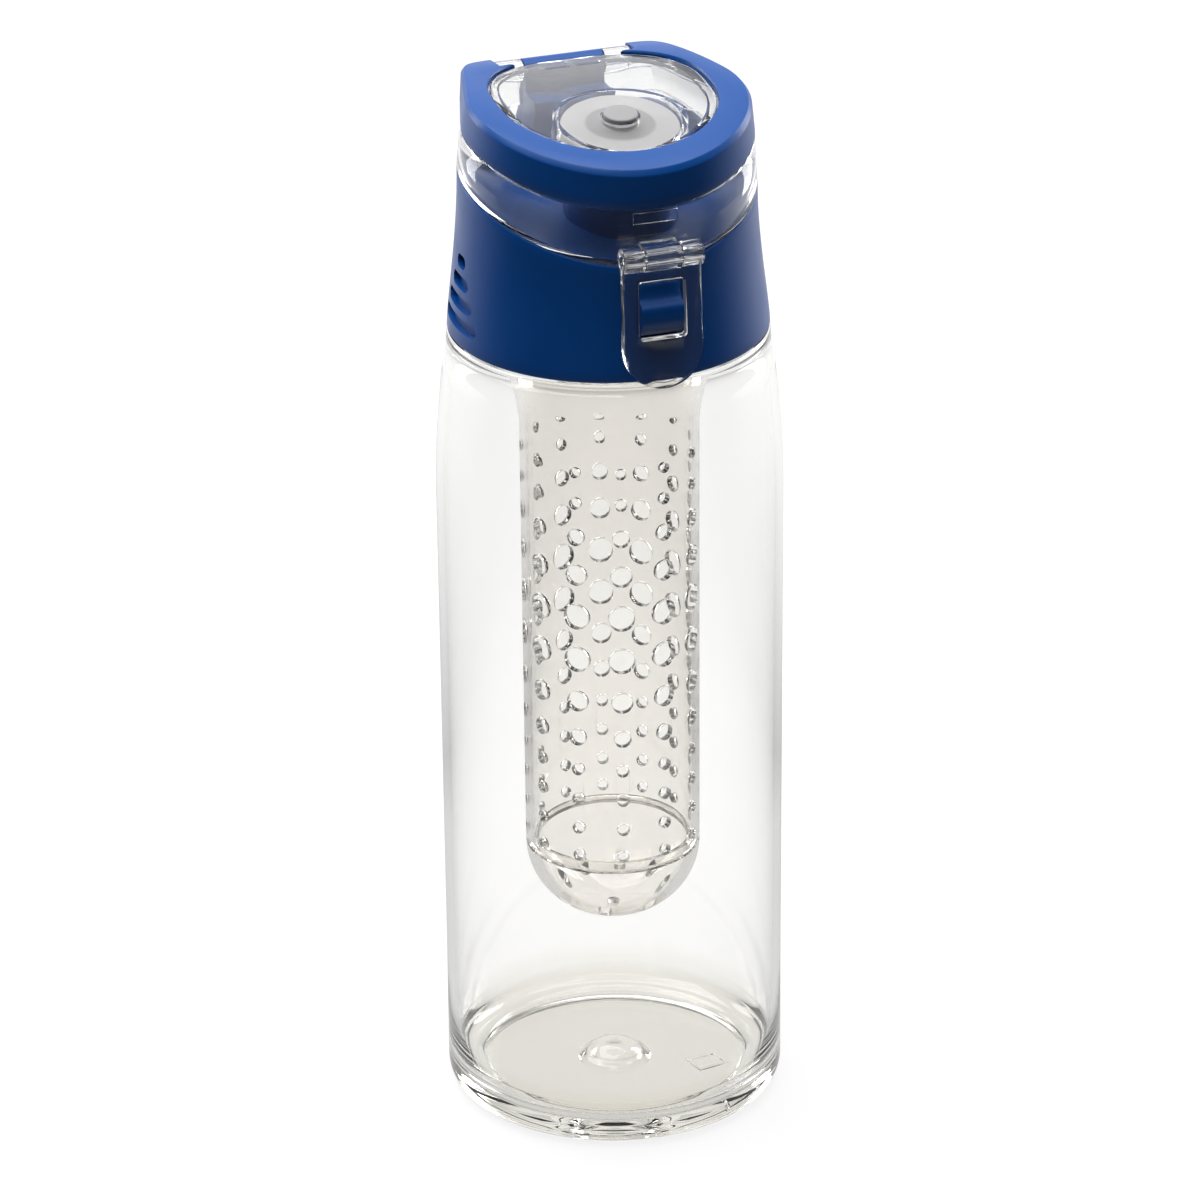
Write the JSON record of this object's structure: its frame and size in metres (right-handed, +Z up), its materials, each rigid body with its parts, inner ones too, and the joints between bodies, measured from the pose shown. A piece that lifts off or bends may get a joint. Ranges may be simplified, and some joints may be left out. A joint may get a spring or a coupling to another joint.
{
  "type": "infuser sports bottle",
  "caption": "Clear sports bottle with screw collar, hinged flip lid held by a front clasp, stoppered spout and a perforated fruit infuser basket.",
  "frame": {"origin": "middle of the foot ring, on the surface the bottle stands on", "axes": "+Z up along the bottle's axis, -Y to the front (clasp), +Y to the back (lid hinge), +X to the bottle's own left side seen from the back"},
  "size_m": [0.073, 0.073, 0.2267],
  "materials": {
    "clear_plastic": "clear copolyester, polished",
    "blue_plastic": "moulded polypropylene, fine satin",
    "silicone": "translucent white silicone",
    "pin_steel": "drawn wire"
  },
  "bodies": {
    "bottle": {"bottle_body": "clear_plastic"},
    "cap_seal": {"neck_gasket": "silicone"},
    "cap_thread": {"infuser_gasket": "silicone"},
    "cap": {"collar": "blue_plastic", "hinge_pin": "pin_steel"},
    "infuser": {"infuser_tube": "clear_plastic"},
    "infuser_cap": {"infuser_end_cap": "clear_plastic"},
    "lid": {"lid_shell": "clear_plastic", "lid_trim": "blue_plastic", "stopper": "silicone", "clasp_pin": "clear_plastic"},
    "clasp": {"clasp": "clear_plastic"}
  },
  "joints": [
    {"name": "cap_lift", "type": "slide", "parent": "bottle", "child": "cap_seal", "axis": [0, 0, 1], "range_m": [0, 0.165]},
    {"name": "cap_rise", "type": "slide", "parent": "cap_seal", "child": "cap_thread", "axis": [0, 0, 1], "range_m": [0, 0.0057]},
    {"name": "cap_turn", "type": "hinge", "parent": "cap_thread", "child": "cap", "pos_m": [0, 0, 0.19], "axis": [0, 0, 1], "range_deg": [0, 450]},
    {"name": "infuser_release", "type": "slide", "parent": "cap", "child": "infuser", "axis": [0, 0, -1], "range_m": [0, 0.012]},
    {"name": "infuser_cap_release", "type": "slide", "parent": "infuser", "child": "infuser_cap", "axis": [0, 0, -1], "range_m": [0, 0.015]},
    {"name": "lid_hinge", "type": "hinge", "parent": "cap", "child": "lid", "pos_m": [0, 0.0292, 0.2219], "axis": [-1, 0, 0], "range_deg": [0, 130]},
    {"name": "clasp_hinge", "type": "hinge", "parent": "lid", "child": "clasp", "pos_m": [0, -0.0339, 0.2034], "axis": [-1, 0, 0], "range_deg": [0, 95]}
  ],
  "couplings": [
    {"joint": "cap_rise", "follows": "cap_turn", "m_per_rad": 0.0007162}
  ]
}
